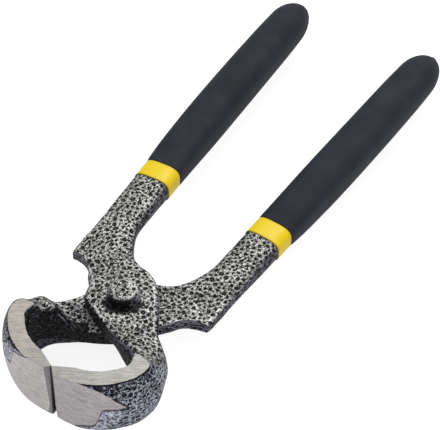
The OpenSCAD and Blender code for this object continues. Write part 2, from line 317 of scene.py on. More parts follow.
# %% [markdown]
# ## The skin over the ribs
# Straight lines between ribs would show as facets. Here a cubic curve runs through both ends with the slopes
# that their neighbours give, so the skin has no kink at a rib. Rows are then spaced evenly along the lever,
# because the pits need an even mesh. Under the lap the section is first drawn deeper and then cut flat, which
# leaves a milled face with crisp edges.

# %% Forged surface
fine_steps = 2000
corner_span, square_span = (0.92, 0.99), (2.5, 6)


def smooth_ribs(ribs, at):
    """Cubic at fractional station numbers: h00 a + h10 ma + h01 b + h11 mb, slopes by central difference."""
    last = len(ribs) - 1
    i = np.minimum(at.astype(int), last - 1)
    t = (at - i)[:, None]
    slope = np.gradient(ribs, axis=0)
    a, b, ma, mb = ribs[i], ribs[i + 1], slope[i], slope[i + 1]
    leaving = a * (2 * t**3 - 3 * t**2 + 1) + ma * (t**3 - 2 * t**2 + t)
    return leaving + b * (3 * t**2 - 2 * t**3) + mb * (t**3 - t**2)


def even_steps(ribs, rows):
    """Station numbers that step evenly along the line of the ribs' middles."""
    at = np.linspace(0, len(ribs) - 1, fine_steps)
    fine = smooth_ribs(ribs, at)
    middle = (fine[:, 0:2] + fine[:, 2:4]) / 2
    length = np.r_[0, np.cumsum(np.linalg.norm(np.diff(middle, axis=0), axis=1))]
    return np.interp(np.linspace(0, length[-1], rows), length, at)


def forging(turned, rows, columns):
    """Point (i, j): walk j round a rectangle as wide and high as rib i, then scale it to |x|^p + |y|^p = 1.

    The second array is 1 along the corners of square ribs, where min(|x|, |y|) reaches 2^(-1/p), and 0 elsewhere.
    """
    ribs = stations(turned)
    at_rows = smooth_ribs(ribs, even_steps(ribs, rows))[:, :, None]
    x0, y0, x1, y1, low0, low1, high0, high1, power0, power1, milled = np.moveaxis(at_rows, 1, 0)
    w = np.hypot(x1 - x0, y1 - y0)
    h = (high0 + high1 - low0 - low1) / 2
    d = (np.arange(columns)[None, :] + 0.5) / columns * 2 * (w + h)
    sides = [d < h, d < h + w, d < 2 * h + w]
    x = np.select(sides, [1 + 0 * d, 1 - 2 * (d - h) / w, -1 + 0 * d], -1 + 2 * (d - 2 * h - w) / w)
    y = np.select(sides, [-1 + 2 * d / h, 1 + 0 * d, 1 - 2 * (d - h - w) / h], -1 + 0 * d)
    p = np.where(x < 0, power0, power1)
    shrink = (np.abs(x) ** p + np.abs(y) ** p) ** (-1 / p)
    across, up = (x * shrink + 1) / 2, y * shrink
    low, high = low0 + (low1 - low0) * across, high0 + (high1 - high0) * across
    forged_low = low - np.maximum(milled, 0)
    z = (high + forged_low) / 2 + up * (high - forged_low) / 2
    z = np.where(milled > 1e-6, np.maximum(z, low), z)
    corner = np.minimum(np.abs(x), np.abs(y)) * shrink * 2 ** (1 / p)
    corner = ramp(corner, *corner_span) * ramp(p, *square_span)
    return np.stack([x0 + (x1 - x0) * across, y0 + (y1 - y0) * across, z], -1), corner


def grid_normals(points):
    """Outward unit normals of a grid closed round its columns: d/column x d/row, signed so that sum p . n > 0."""
    along = np.gradient(points, axis=0)
    round_it = np.roll(points, -1, 1) - np.roll(points, 1, 1)
    normal = np.cross(round_it, along)
    normal *= np.sign(((points - points.mean((0, 1))) * normal).sum())
    return normal / np.maximum(np.linalg.norm(normal, axis=-1, keepdims=True), 1e-12)


skin = forging(False, 9, 12)[0].reshape(-1, 3)
print("forging spans", np.round(skin.min(0), 1), np.round(skin.max(0), 1))

# %% [markdown]
# ## Node arithmetic
# A material's pattern is a sum with many terms, and wiring each by hand hides the formula. A `Wire` is one
# output socket, and Python's operators on it add the Math nodes, so that the formula reads as one. Colours and
# vectors go through their own nodes, because a Math node would turn a colour grey.

# %% Shader arithmetic
class Wire:
    """One output socket of a node tree, with arithmetic."""

    def __init__(self, tree, socket):
        self.tree, self.socket = tree, socket

    def node(self, kind, inputs=None, output=0, **settings):
        """Adds a node of any kind, fills its inputs by name or number, and gives one of its outputs."""
        made = self.tree.nodes.new(kind)
        for key, value in settings.items():
            setattr(made, key, value)
        for key, value in (inputs or {}).items():
            if isinstance(value, Wire):
                self.tree.links.new(value.socket, made.inputs[key])
            else:
                made.inputs[key].default_value = value
        return Wire(self.tree, made.outputs[output])

    def also(self, output):
        """Another output of the same node."""
        return Wire(self.tree, self.socket.node.outputs[output])

    def math(self, operation, *values):
        """A Math node on this number and the values."""
        return self.node("ShaderNodeMath", dict(enumerate((self, *values))), operation=operation)

    def reflected(self, operation, value):
        """A Math node with the value before this number, as in 1 - this."""
        return self.node("ShaderNodeMath", {0: value, 1: self}, operation=operation)

    def __add__(self, other): return self.math("ADD", other)
    def __radd__(self, other): return self.math("ADD", other)
    def __sub__(self, other): return self.math("SUBTRACT", other)
    def __rsub__(self, other): return self.reflected("SUBTRACT", other)
    def __mul__(self, other): return self.math("MULTIPLY", other)
    def __rmul__(self, other): return self.math("MULTIPLY", other)
    def __truediv__(self, other): return self.math("DIVIDE", other)
    def __neg__(self): return self.math("MULTIPLY", -1.0)

    def clipped(self):
        """This number, kept between 0 and 1."""
        return self.math("MAXIMUM", 0.0).math("MINIMUM", 1.0)

    def step(self, low, high):
        """Smooth step from 0 at low to 1 at high. low may lie above high."""
        return self.node("ShaderNodeMapRange", {"Value": self, "From Min": low, "From Max": high},
                         interpolation_type="SMOOTHSTEP")

    def between(self, a, b):
        """Number a where this is 0 and b where it is 1: this (b - a) + a."""
        return self * (b - a) + a

    def blend(self, a, b):
        """Colour a where this is 0 and b where it is 1."""
        return self.node("ShaderNodeMix", {0: self, 6: a, 7: b}, 2, data_type="RGBA")

    def stretched(self, x, y, z):
        """This vector times (x, y, z)."""
        return self.node("ShaderNodeVectorMath", {0: self, 1: (x, y, z)}, operation="MULTIPLY")

    def parts(self):
        """This vector's x, y and z."""
        split = self.node("ShaderNodeSeparateXYZ", {0: self})
        return [split.also(n) for n in range(3)]

    def noise(self, scale, detail, roughness=0.5, output=0):
        """Cloudy noise over this vector, with as many finer layers as detail, each roughness times as strong."""
        return self.node("ShaderNodeTexNoise", {"Vector": self, "Scale": scale, "Detail": detail,
                                                "Roughness": roughness}, output)

    def cells(self, scale, **settings):
        """Distance to the nearest of scattered points, scale per unit, or to the border between two cells."""
        return self.node("ShaderNodeTexVoronoi", {"Vector": self, "Scale": scale}, "Distance", **settings)

    def stored(self, name):
        """The attribute of that name, one number per vertex, and 0 where a mesh has none."""
        return self.node("ShaderNodeAttribute", output="Fac", attribute_name=name)


print("Wire has", len([name for name in vars(Wire) if not name.startswith("__")]), "named methods")

# %% [markdown]
# ## Starting a material
# Every finish here is one principled shader. What is the same all over a surface is set on its sockets, and
# what changes is driven by wires. Patterns read Object coordinates in millimetres, so that a scale in the
# formulas is a size on the tool.

# %% Starting a material
def material(name, **fixed):
    """A new principled material with fixed sockets, its shader and the Object coordinates in mm."""
    made = bpy.data.materials.new(name)
    made.use_nodes = True
    shader = made.node_tree.nodes["Principled BSDF"]
    for key, value in fixed.items():
        shader.inputs[key.replace("_", " ")].default_value = value
    start = Wire(made.node_tree, None)
    coords = start.node("ShaderNodeTexCoord", output="Object").stretched(1000, 1000, 1000)
    return made, shader, coords


def drive(shader, **links):
    """Links wires to the shader's sockets."""
    for key, wire in links.items():
        wire.tree.links.new(wire.socket, shader.inputs[key.replace("_", " ")])


def bumped(coords, height, distance):
    """Normal of a surface raised by height times distance, in metres."""
    return coords.node("ShaderNodeBump", {"Strength": 1.0, "Distance": distance, "Height": height})


print("shader tools ready")

# %% [markdown]
# ## Hammered paint
# The real paint is aluminium flake in clear lacquer over a black base. The flake swims to the ridges between the
# pits, and the base shows in the pits and in specks between. So the look is one number, `leaf`, that says how
# much flake lies at a point: noise in several sizes, more along ridges and on corners, which wear and a painted
# highlight brighten, and less in specks and where painted shade and shadow darken it. Round the hook's outside
# a painted blue reflection, lighter low down, tints the flake, painted shade darkens it towards the jaw's sides,
# and it ends in a dark line under the ground band. Upright walls are painted darker, as painted shade, and their
# noise is squeezed along z into short level streaks. An image could hold all this, but it would blur close up,
# and noise doesn't.

# %% Hammered paint
looked_up = ("pit", "ridge", "wall", "sheen_side", "edge", "shade")
base_black = (0.003, 0.003, 0.0035, 1)
flake_dark, flake_bright = (0.02, 0.02, 0.02, 1), (0.78, 0.775, 0.75, 1)
# Painted blue reflection round the hook's outside: its base, lighter low down and darker high up, and its flake
blue_low, blue_high, blue_bright = (0.05, 0.053, 0.07, 1), (0.006, 0.007, 0.01, 1), (0.6, 0.61, 0.74, 1)
# Upright walls are painted darker, as painted shade, up to this brightest streak; then the line under the band
wall_bright, band_line = (0.22, 0.22, 0.265, 1), (0.008, 0.008, 0.01, 1)
# Where painted shade dims the blue flake towards the jaw's sides, the band's line, and where the painted
# reflection darkens with height
band_fade, band_edge, blue_span = (half_h - 4.5, half_h - 0.8), (half_h - 0.55, half_h - 0.3), (5.0, 14.0)
cell_scale, cell_rim = 0.8, 0.52


def flake(coords, moved, grain, ridge, edge, shade):
    """leaf, 0 on the black base and 1 on full flake, and the fine noise that the wall's paint shares."""
    fine, slow = coords.noise(3.0, 1.0), coords.noise(0.14, 1.0)
    specks = moved.cells(1.15)
    size = specks.node("ShaderNodeSeparateColor", {0: specks.also("Color")}, 0)
    speck = (specks - size * 0.42).step(0.1, -0.05)
    vein = ridge.step(0.25, 0.03)  # 1 midway between two pits
    leaf = grain * 0.55 + fine * 0.45 + vein * 0.14 - speck * 0.2
    # Wear and a painted highlight brighten the flake along edges, and painted shade and shadow darken it
    leaf = leaf + (slow - 0.5) * 0.12 + edge * 0.1 - shade * 0.2
    return leaf.step(0.41, 0.69), fine


def sheen_flake(coords, leaf):
    """Painted blue reflection on the paint round the hook's outside, lighter low down, and painted shade that
    darkens it towards the jaw's sides.
    """
    z = coords.parts()[2]
    from_middle = (z - half_h).math("ABSOLUTE")
    dimmed = (leaf - from_middle.step(*band_fade) * 0.22).math("MAXIMUM", 0.0)
    colour = dimmed.blend(z.step(*blue_span).blend(blue_low, blue_high), blue_bright)
    return from_middle.step(*band_edge).blend(colour, band_line)


def hammered_look(coords, drawn=False):
    """Colour, roughness, metallic and height of hammered paint, from the attributes that dress() stores.

    Where the paint is drawn on a ground face, which has no such attributes, cells stand in for the pits.
    """
    if drawn:
        pit = coords.cells(cell_scale) / cell_scale - cell_rim
        ridge = coords.cells(cell_scale, feature="DISTANCE_TO_EDGE") / cell_scale
        edge = shade = 0.0
    else:
        pit, ridge, wall, sheen_side, edge, shade = [coords.stored(name) for name in looked_up]
    # Each point is first moved by up to a millimetre or so, so that grain and specks come out ragged
    wobble = coords.noise(0.9, 2.0, output="Color").stretched(1.6, 1.6, 1.6)
    moved = coords.node("ShaderNodeVectorMath", {0: coords, 1: wobble}, operation="ADD")
    grain = moved.noise(1.5, 2.0, 0.6)
    # A pit is black inside a ragged rim, and its bottom catches a little light
    lip = pit + (grain - 0.5) * 0.4
    hole, bottom = lip.step(0.1, -0.08), lip.step(-0.28, -0.45)
    leaf, fine = flake(coords, moved, grain, ridge, edge, shade)
    colour, upright = sheen_flake(coords, leaf), 0.0
    if not drawn:
        # Upright walls are painted darker in short level streaks, painted shade that the shade mask deepens
        run = moved.stretched(0.5, 0.5, 1.9).noise(1.0, 2.0, 0.6)
        streak = shade.clipped().between(run, grain)
        walled = (streak * 0.8 + fine * 0.2 + edge * 0.15 - shade * 0.07).step(0.43, 0.61)
        # The hook's outside takes the painted blue reflection, and upright walls the darker paint of painted
        # shade
        colour = sheen_side.blend(leaf.blend(flake_dark, flake_bright), colour)
        colour, upright = wall.blend(colour, walled.blend(base_black, wall_bright)), wall
    colour = (hole * (1 - bottom * 0.25)).blend(colour, base_black)
    return colour, 0.5 + hole * 0.1, (1 - hole) * (1 - upright) * 0.25, leaf * 0.5 - hole


print("paint reads", looked_up)

# %% [markdown]
# ## Ground steel
# After painting, the jaws are ground bare on a belt: their flat sides, the front and the bevels. A belt leaves
# fine scratches all one way. An anisotropic gloss could stand for them from far off, but close up each scratch
# shows, so they are noise over coordinates that are drawn out along the scratches. Cloudy noise and small nicks
# keep it from looking ruled. The left jaw's side is a little warmer, so the tint changes over x. The left jaw's
# bevels take a darker tint, painted shade, and its front a lighter one, painted light, and the groove where both
# cutting edges meet is painted dark, as painted shade.

# %% Ground steel
steel_metallic, steel_dark, steel_light = 0.5, 0.62, 1.18
# The painted shade in the groove where both cutting edges meet
groove_shade = (0.015, 0.014, 0.016, 1)
# The lit and the dim tint are lighter and darker copies of the cool one, painted light and painted shade
cool_steel, lit_steel, shaded_steel = (0.38, 0.355, 0.365), (0.46, 0.43, 0.43), (0.21, 0.19, 0.2)
plate_steel, warm_steel = (0.335, 0.33, 0.31), (0.42, 0.385, 0.35)
front_scratches = (0.25, 0.5, 1.8)


def ground_look(coords, lay, tint):
    """Colour, roughness and height of a ground face. lay is the drawn-out vector that the scratches read."""
    scratch = lay.noise(1.0, 4.0, 0.7)
    shade = scratch * 0.6 + coords.noise(0.5, 4.0, 0.6) * 0.2 + coords.noise(2.2, 1.0) * 0.2
    dark, light = [tuple(share * c for c in tint) + (1,) for share in (steel_dark, steel_light)]
    return shade.step(0.34, 0.64).blend(dark, light), 0.36 + scratch * 0.2, scratch


def ground_steel(name, degrees, scales, tints, span, groove):
    """Ground steel whose first tint becomes the second over a span of x, painted dark as painted shade where |x|
    is under groove.
    """
    made, shader, coords = material(name, Metallic=steel_metallic)
    lay = coords.node("ShaderNodeVectorRotate", {0: coords, "Angle": np.radians(degrees)}, rotation_type="Z_AXIS")
    colour, roughness, height = ground_look(coords, lay.stretched(*scales), tints[0])
    other = ground_look(coords, lay.stretched(*scales), tints[1])[0]
    x = coords.parts()[0]
    # Painted shade: the groove where both cutting edges meet is darkened
    groove_shade_mask = x.math("ABSOLUTE").step(groove + 0.15, groove)
    drive(shader, Base_Color=groove_shade_mask.blend(x.step(*span).blend(colour, other), groove_shade), Roughness=roughness,
          Normal=bumped(coords, height, 0.00001))
    return made


side_steel = ground_steel("ground_sides", -31, (0.15, 1.7, 1), (plate_steel, warm_steel), (-4.0, -14.0), -1.0)
# The left jaw's bevels, below x = 0.2, take the darker tint, as painted shade
edge_steel = ground_steel("ground_edges", 0, (2.2, 2.2, 0.25), (cool_steel, shaded_steel), (0.4, 0.2), 0.22)
print("ground steels:", side_steel.name, edge_steel.name)

# %% [markdown]
# ## Where the belt cut through the paint
# Beside the ground front the belt also took the paint off a pointed tongue of the forged skin. The film is too
# thin to cut out as a form, so the material changes along a line. `bare` is the distance inside the tongue,
# stored per vertex. Noise added to it makes the border wavy, and within half a millimetre of the border lies
# the dark edge of the film.

# %% Paint, worn through beside the ground front
film_edge = (0.02, 0.02, 0.024, 1)
paint, shader, coords = material("hammered_paint", Specular_IOR_Level=0.07)
colour, rough, metal, height = hammered_look(coords)
bare = coords.stored("bare") + (coords.noise(0.5, 2.0) - 0.5) * 1.5
steel, steel_rough, scratch = ground_look(coords, coords.stretched(*front_scratches), cool_steel)
ground, rim = bare.step(-0.1, 0.1), bare.math("ABSOLUTE").step(0.5, 0.2)
drive(shader, Base_Color=rim.blend(ground.blend(colour, steel), film_edge),
      Roughness=ground.between(rough, steel_rough), Metallic=ground.between(metal, steel_metallic),
      Normal=bumped(coords, height * (1 - ground), 0.00005))
print("paint has", len(paint.node_tree.nodes), "nodes")

# %% [markdown]
# ## Front faces
# The belt missed the underside of the jaws' fronts, so paint is left there below a wavy line. This face is made
# by a cut, so it has no vertices along the line that could store it. Instead the line's height is a formula of
# the angle round the hook, with a low part beside the edge and two smooth rises. The paint below it carries a
# painted blue reflection.

# %% Front faces
line_rises = ((5.0, 27.0, 3.2), (27.0, 37.0, 9.2))
line_low, line_bend, line_slope = 11.7, 38.0, 0.1
# The painted blue reflection on the paint below the line, and the dark edge of the film
blue_sheen, front_film = (0.26, 0.28, 0.36, 1), (0.025, 0.025, 0.03, 1)


def front_steel(name, s, tint):
    """Steel above and paint below the line, whose z is the sum of its rises over the angle, less line_low."""
    made, shader, coords = material(name)
    x, y, z = coords.parts()
    own_x, own_z = x * s - hook_x, (z - half_h) * s
    angle = own_x.math("ARCTAN2", -(y - pivot_y + hook_y)) * (180 / np.pi)
    first, second = [angle.step(low, high) * rise for low, high, rise in line_rises]
    line = first + second - line_low + (angle - line_bend).math("MAXIMUM", 0.0) * line_slope
    depth = own_z - (line + (coords.noise(0.33, 3.0) - 0.5) * (1.0 + angle.step(20.0, 26.0) * 2.6))
    bare, rim = depth.step(-0.1, 0.1), depth.math("ABSOLUTE").step(0.6, 0.22)
    steel, steel_rough, scratch = ground_look(coords, coords.stretched(*front_scratches), tint)
    colour, rough, metal, height = hammered_look(coords, drawn=True)
    # A painted blue reflection over the paint below the line
    patch = (0.1 + coords.noise(0.5, 2.0).step(0.35, 0.65) * 0.25).blend(colour, blue_sheen)
    drive(shader, Base_Color=rim.blend(bare.blend(patch, steel), front_film),
          Roughness=bare.between(rough, steel_rough), Metallic=bare.between(metal, steel_metallic),
          Normal=bumped(coords, bare.between(height, scratch * 0.2), 0.00005))
    return made


# The lower lever's front, the left jaw's, takes the lighter tint, as painted light
front_steels = [front_steel("ground_front_upper", 1.0, cool_steel),
                front_steel("ground_front_lower", -1.0, lit_steel)]
print("front steels:", [m.name for m in front_steels])

# %% [markdown]
# ## Sleeves
# Collars and grips are dipped or moulded vinyl, soft and almost matt. A plain colour would look like paint: the
# real skin has a fine grain, and its colour and gloss drift slowly from place to place. Dirt gathers in the seam
# at each rim of a collar, which a stored attribute marks.

# %% Sleeves
def moulded(name, colour, rough, grain_mm, depth, shade, seam_colour, **fixed):
    """Vinyl whose colour varies by the share shade, with a grain of grain_mm and grime where the seam is 1."""
    made, shader, coords = material(name, **fixed)
    fine, slow = coords.noise(1 / grain_mm, 3.0), coords.noise(0.09, 2.0)
    low, high = [tuple(c * share for c in colour) + (1,) for share in (1 - shade, 1 + shade)]
    mixed = (fine * 0.5 + slow * 0.5).step(0.3, 0.7).blend(low, high)
    drive(shader, Base_Color=coords.stored("seam").blend(mixed, seam_colour), Roughness=rough + fine * 0.12,
          Normal=bumped(coords, fine, depth))
    return made


collar_vinyl = moulded("yellow_vinyl", (0.85, 0.625, 0.014), rough=0.36, grain_mm=0.5, depth=0.000012,
                       shade=0.04, seam_colour=(0.12, 0.08, 0.01, 1), Specular_IOR_Level=0.22)
grip_vinyl = moulded("black_vinyl", (0.0212, 0.0245, 0.0325), rough=0.64, grain_mm=0.3, depth=0.00006,
                     shade=0.35, seam_colour=(0.004, 0.004, 0.005, 1), Specular_IOR_Level=0.16)
print("sleeves:", collar_vinyl.name, grip_vinyl.name)

# %% [markdown]
# ## Cutting tools
# The forged skin is cut as the real one is ground: both side faces, the front, and the bevels of the edge, and
# then the rivet's bore. Each cut is an exact boolean with a plain tool, which leaves truly flat faces and hands
# its own material to them. Flattening vertices instead would leave ragged borders. On the lower lever the front
# bevel runs out towards the underside.

# %% Cutting tools
past, lift, back_start, over = 0.5, 1.5, 0.02, 4
full_share, lower_share, run_out_share = (1, 1), (0.98, 1.07), (1.2, 0.2)
arc_count, arc_degrees, bore_count = 90, (-90, -14), 96


def circle(x, y, r, count, first=0.0, last=360.0):
    """Points (x + r cos a, y + r sin a). A full circle doesn't repeat its first point."""
    a = np.radians(np.linspace(first, last, count, endpoint=last - first < 360))
    return np.stack([x + r * np.cos(a), y + r * np.sin(a)], -1)


def rectangle(x0, y0, x1, y1):
    """Corners of a rectangle, anticlockwise."""
    return [(x0, y0), (x1, y0), (x1, y1), (x0, y1)]


def prism(outline, low, high, material, upper=None):
    """Prism over a plan outline, from z = low to z = high, where the outline may have become the upper one."""
    upper = outline if upper is None else upper
    count = len(outline)
    points = np.concatenate([np.c_[outline, np.full(count, low)], np.c_[upper, np.full(count, high)]])
    j = np.arange(count)
    k = (j + 1) % count
    walls = np.stack([j, k, k + count, j + count], -1).tolist()
    caps = [j[::-1].tolist(), (j + count).tolist()]
    return points, walls + caps, material


def bevels(wide, deep):
    """Plan of what both bevels take away at the edge. The one in front is wide along x and deep along y."""
    front_y, left = -jaw_reach - past * deep, -jaw_wall - 1
    back_y = -jaw_reach + max(front_bevel, deep) + back_start
    inner_y = back_y + back_bevel * np.tan(np.radians(back_bevel_angle))
    return [(edge_gap + lift * wide, front_y), (edge_gap, -jaw_reach + deep), (edge_gap, back_y),
            (edge_gap + back_bevel, inner_y), (edge_gap, inner_y + lap_t), (left, inner_y + lap_t),
            (left, front_y)]


def tools(front, turned):
    """The prisms in the lever frame, in the order in which they cut: two sides, front, bevels and bore."""
    reach, deep = jaw_reach + jaw_wall, half_h + 2
    arc = circle(hook_x, -jaw_reach + front_r, front_r, arc_count, *arc_degrees)
    shares = (lower_share, run_out_share) if turned else (full_share, full_share)
    bevel, run_out = [bevels(front_bevel * wide, front_bevel * down) for wide, down in shares]
    front_plan = [(-jaw_wall, -jaw_reach), *arc.tolist(), (reach, arc[-1, 1]), (reach, -reach - 1),
                  (-jaw_wall, -reach - 1)]
    return [
        prism(rectangle(-reach, -reach, reach, 0), half_h, half_h + over, side_steel),
        prism(rectangle(-reach, -reach, reach, 0), -half_h - over, -half_h, side_steel),
        prism(front_plan[::-1], -deep, deep, front),
        prism(bevel, -deep, deep, edge_steel, run_out),
        prism(circle(0, 0, rivet_r + rivet_clear, bore_count), -deep, deep, paint),
    ]


print("tools:", len(tools(front_steels[0], False)))

# %% Cutting
def cut(piece, other, operation):
    """Applies one exact boolean and removes the tool."""
    modifier = piece.modifiers.new("cut", "BOOLEAN")
    modifier.object, modifier.operation = other, operation
    modifier.solver, modifier.material_mode = "MANIFOLD", "TRANSFER"
    done = bpy.data.meshes.new_from_object(piece.evaluated_get(bpy.context.evaluated_depsgraph_get()))
    piece.modifiers.clear()
    piece.data = done
    bpy.data.objects.remove(other)


def solid(name, points, faces, material_used):
    """One object of loose points and faces, in one material."""
    mesh = bpy.data.meshes.new(name)
    mesh.from_pydata(points.tolist(), [], faces)
    return link(name, mesh, [material_used])


print("cuts are ready")

# %% [markdown]
# ## Sharp edges
# A smooth mesh shades a ground edge as if it were rounded. A bevel modifier would fix that with extra rows of
# faces, but a belt leaves the edge sharp. So edges between two finishes, and edges where the faces meet at a
# clear angle, are marked as sharp. Along the same edges the paint is brightened, by wear and a painted highlight.

# %% Sharp edges
lever_crease, round_crease = 38, 50


def face_data(mesh):
    """Material number and unit normal of every face, and the sorted edges of all corners with their faces."""
    kinds = np.zeros(len(mesh.polygons), np.int32)
    mesh.polygons.foreach_get("material_index", kinds)
    normals = np.zeros((len(mesh.polygons), 3), np.float32)
    mesh.polygons.foreach_get("normal", normals.ravel())
    counts = np.zeros(len(mesh.polygons), np.int32)
    mesh.polygons.foreach_get("loop_total", counts)
    edges = np.zeros(len(mesh.loops), np.int32)
    mesh.loops.foreach_get("edge_index", edges)
    owner = np.repeat(np.arange(len(kinds)), counts)
    order = np.argsort(edges, kind="stable")
    return kinds, normals, edges[order], owner[order]


def crease(mesh, degrees):
    """Marks an edge as sharp where its faces differ in material or meet at more than the angle.

    Gives the sharp edges' vertices.
    """
    kinds, normals, edges, owner = face_data(mesh)
    first = np.searchsorted(edges, np.arange(len(mesh.edges)))
    a, b = owner[first], owner[np.minimum(first + 1, len(owner) - 1)]
    bent = (normals[a] * normals[b]).sum(-1) < np.cos(np.radians(degrees))
    sharp = bent | (kinds[a] != kinds[b])
    mesh.attributes.new("sharp_edge", "BOOLEAN", "EDGE").data.foreach_set("value", sharp)
    mesh.polygons.foreach_set("use_smooth", np.ones(len(kinds), bool))
    ends = np.zeros(2 * len(mesh.edges), np.int32)
    mesh.edges.foreach_get("vertices", ends)
    return np.unique(ends.reshape(-1, 2)[sharp])


print("edge tools ready")

# %% [markdown]
# ## Where light and shade are painted
# Besides the paint's own changes, light and shade are painted into its colour here. The throat, the foot of the
# step where the hook comes down to the lap, the valley beside it and the side of the rivet's head away from the
# key light are darkened as painted shade and shadow, and the throat's upper rim is lightened as a painted
# reflection.
# Corners are brightened by wear and a painted highlight, and the ridge that runs down the step by a painted
# highlight. Each such place is a mask, a product of smooth steps over distances from known points. The masks are
# stored per vertex and the shader only looks them up, which is cheaper than the same formulas in nodes. A span
# (a, b) fades a mask from 0 where a value is a to 1 where it is b.

# %% Masks round the hook
# Distances from the hook's centre on its outside and inside, and how far ahead of the rivet the outside begins
outer_span, inner_span, ahead_span = (throat_r + 2.5, throat_r + 5), (throat_r + 2.5, throat_r + 0.5), (6, 10)
# In the throat, painted shade: how level a face is, z of the upper rim where light is painted, and the distance
# from the rivet
wall_span, lit_span, free_span, throat_dark, rim_light = (0.8, 0.5), (4.8, 6.5), (7, 9), 1.2, 3.2
hump_at, hump_span, hump_low = (13.5, -18), (6, 3.5), (-5.5, -7.5)
# The steel tongue: its lower border, its upper line over the angle, where it begins, and the hook's outer skin
tongue_low, tongue_top, tongue_fall, tongue_from, tongue_bend, far = 1.2, 7.0, 0.43, 39, 41, 4
skin_span = (throat_r + 2, throat_r + 4)


def distance(own, x, y):
    """Distance in plan from (x, y)."""
    return np.hypot(own[:, 0] - x, own[:, 1] - y)


def hook_masks(own, level):
    """Masks of the hook's outside, where a blue reflection is painted, of the low hump at its root and of the
    throat's wall.

    level is |normal z|: 1 on level faces, 0 on walls. The throat's mask is painted shade, and near the upper rim
    it is negative, a painted reflection.
    """
    from_hook = distance(own, hook_x, -hook_y)
    outside = ramp(from_hook, *outer_span) * ramp(-own[:, 1], *ahead_span)
    hump = ramp(distance(own, *hump_at), *hump_span) * ramp(own[:, 2], *hump_low)
    throat = ramp(from_hook, *inner_span) * ramp(level, *wall_span) * (1 - hump)
    throat *= (throat_dark - rim_light * ramp(own[:, 2], *lit_span)) * ramp(distance(own, 0, 0), *free_span)
    return outside, hump, throat


def tongue(own):
    """How far in mm a point lies inside the steel tongue, between tongue_low and a line that falls with angle."""
    angle = np.degrees(np.arctan2(own[..., 0] - hook_x, -own[..., 1] - hook_y))
    line = tongue_top - tongue_fall * (angle - tongue_bend)
    inside = np.minimum(own[..., 2] - tongue_low, line - own[..., 2])
    return np.clip(np.minimum(inside, (angle - tongue_from) * 0.5), -far, far)


print("the throat's wall lies within", inner_span[0], "mm of the hook's centre")

# %% Masks of the step and of the rivet's head
# The line along which the hook comes down to the lap, and distances from it
foot = [(throat_r * 0.42, -hook_y * 0.87), (throat_r * 0.72, -hook_y), (throat_r * 0.98, -hook_y * 1.16)]
foot = np.stack([np.interp(np.linspace(0, 2, 60), range(3), values) for values in zip(*foot)], -1)
step_span, step_low, under_lap = (3.2, 1.6), (-8.5, -6.5), (2.0, 1.0)
valley_span, valley_low, valley_x = (3.5, 2.8), (-10.3, -9.3), (14.2, 13.2)
ridge_start, ridge_fall, ridge_x = (9.5, -1.0), 1.72, 10.5
ridge_width, ridge_reach, ridge_length = (0.6, 0.3), (1.2, 0.8), (2.4, 1.8)
# The head's shadow: the direction away from the key light, and how dark the lap and the head's side are
light_away, head_span, away_span = (0.5, -0.87), (head_r + 3, head_r + 0.4), (1, 4)
lap_face, head_side, head_dark, lap_dark = (lap_t - 1, lap_t - 0.5), (0.85, 0.6), 3.0, 1.4


def step_masks(own):
    """Masks of painted shade at the step's foot and in the valley beside it, and of a painted highlight on the
    ridge that falls by ridge_fall along x.
    """
    x, z = own[:, 0], own[:, 2]
    near = np.hypot(own[:, None, 0] - foot[:, 0], own[:, None, 1] - foot[:, 1]).min(1)
    step = ramp(near, *step_span) * ramp(z, *under_lap) * ramp(z, *step_low)
    valley = ramp(near, *valley_span) * ramp(z, *under_lap) * ramp(z, *valley_low) * ramp(x, *valley_x)
    ridge_z = ridge_start[1] - ridge_fall * (x - ridge_start[0])
    ridge = ramp(np.abs(z - ridge_z), *ridge_width) * ramp(near, *ridge_reach)
    return step, valley, ridge * ramp(np.abs(x - ridge_x), *ridge_length)


def head_mask(own, level):
    """Painted shadow on the lap beside the rivet's head and, stronger, painted shade on the head's side, away
    from the light.
    """
    from_pivot, away = distance(own, 0, 0), own[:, 0] * light_away[0] + own[:, 1] * light_away[1]
    head = ramp(from_pivot, *head_span) * ramp(away, *away_span) * ramp(np.abs(own[:, 2]), *lap_face)
    return head * np.where(from_pivot < head_r + 0.1, head_dark * ramp(level, *head_side), lap_dark)


print("the step's foot runs from", np.round(foot[0], 1), "to", np.round(foot[-1], 1))

# %% Storing the masks
# Wear and a painted highlight near corners, upright faces painted as shade, painted shade in the valley, painted
# highlight on the ridge
corner_wear_and_highlight, upright_span, valley_dark, ridge_highlight = (0.7, 0.3), (0.45, 0.85), 1.3, 2.2


def store(mesh, name, values):
    """Writes one number per vertex as an attribute."""
    mesh.attributes.new(name, "FLOAT", "POINT").data.foreach_set("value", values.astype(np.float32))


